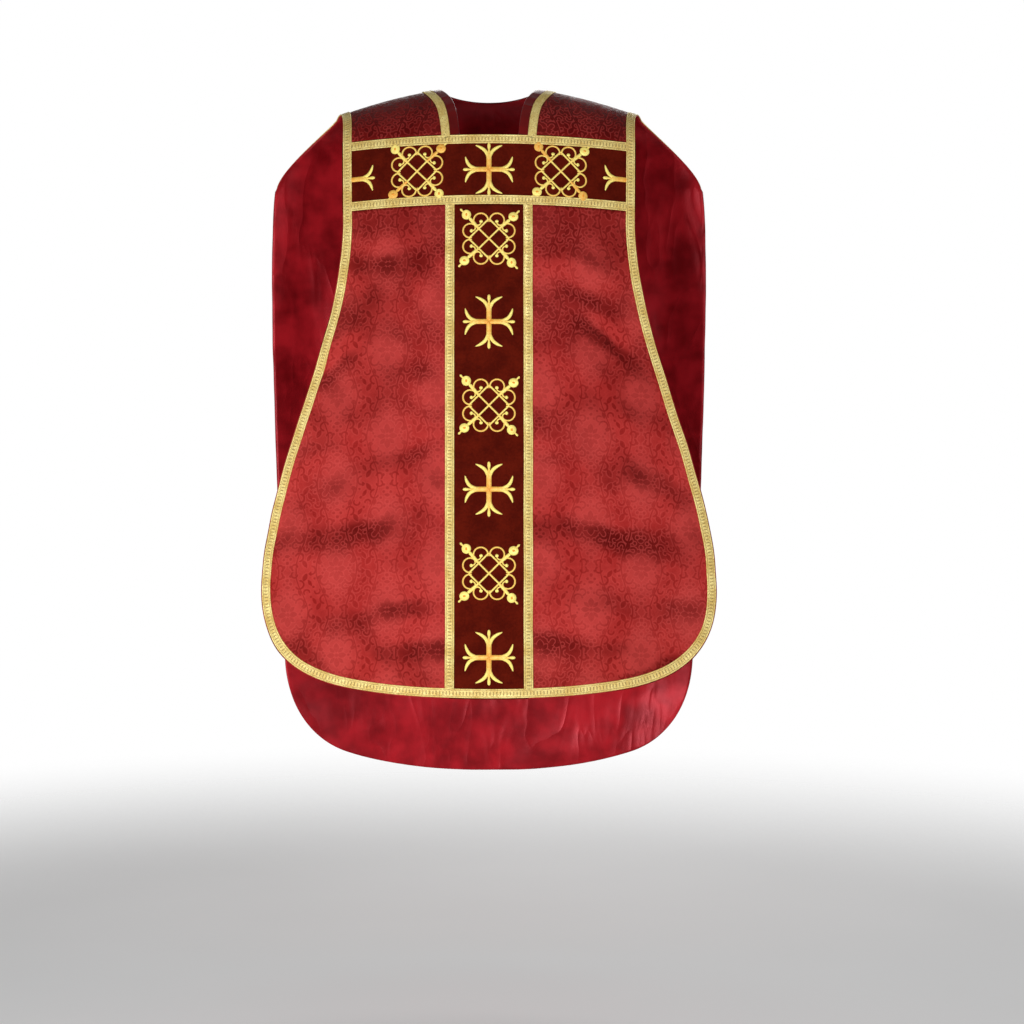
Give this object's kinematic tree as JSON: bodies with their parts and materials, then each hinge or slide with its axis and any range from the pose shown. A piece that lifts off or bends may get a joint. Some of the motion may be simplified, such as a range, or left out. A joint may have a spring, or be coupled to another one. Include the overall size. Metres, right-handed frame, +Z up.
{
  "type": "chasuble",
  "caption": "Fiddleback chasuble in red damask, hanging as worn, with a velvet tau orphrey, gold braid edging and gold embroidered crosses and knots.",
  "frame": {"origin": "middle of the neck opening, level with the points where the neckline crosses the shoulders, which is where the wearer's shoulders hold it", "axes": "+Z up, -Y to the wearer's front, +X to the wearer's left"},
  "size_m": [0.7152, 0.32, 1.1307],
  "materials": {
    "damask": "woven figured damask, soft sheen",
    "velvet": "cut-pile velvet",
    "gold_braid": "woven metallic braid",
    "gold_thread": "satin-stitched metallic embroidery thread",
    "satin_lining": "smooth satin",
    "canvas": "plain unbleached canvas"
  },
  "bodies": {
    "shoulders": {"shoulder_lining": "satin_lining", "shoulder_interlining": "canvas", "shoulder_left": "damask", "shoulder_right": "damask", "upper_back_column": "velvet", "neck_facing": "satin_lining", "neck_braid": "gold_braid", "armhole_braid_left": "gold_braid", "armhole_braid_right": "gold_braid", "upper_column_braids": "gold_braid", "upper_back_cross": "gold_thread"},
    "front": {"front_lining": "satin_lining", "front_interlining": "canvas", "front_panel_left": "damask", "front_panel_right": "damask", "front_column": "velvet", "crossbar": "velvet", "front_edge_braid": "gold_braid", "crossbar_top_braid": "gold_braid", "crossbar_bottom_braid": "gold_braid", "front_column_braid_left": "gold_braid", "front_column_braid_right": "gold_braid", "front_column_knots": "gold_thread", "front_column_crosses": "gold_thread", "crossbar_cross": "gold_thread", "crossbar_knots": "gold_thread", "crossbar_end_crosses": "gold_thread"},
    "back": {"back_lining": "satin_lining", "back_interlining": "canvas", "back_panel_left": "damask", "back_panel_right": "damask", "back_column": "velvet", "back_edge_braid": "gold_braid", "back_column_braid_left": "gold_braid", "back_column_braid_right": "gold_braid", "back_column_knots": "gold_thread", "back_column_crosses": "gold_thread"}
  },
  "joints": [
    {"name": "front_lift", "type": "hinge", "parent": "shoulders", "child": "front", "pos_m": [0, -0.1095, -0.085], "axis": [-1, 0, 0], "range_deg": [0, 75]},
    {"name": "back_lift", "type": "hinge", "parent": "shoulders", "child": "back", "pos_m": [0, 0.1265, -0.15], "axis": [1, 0, 0], "range_deg": [0, 75]}
  ]
}
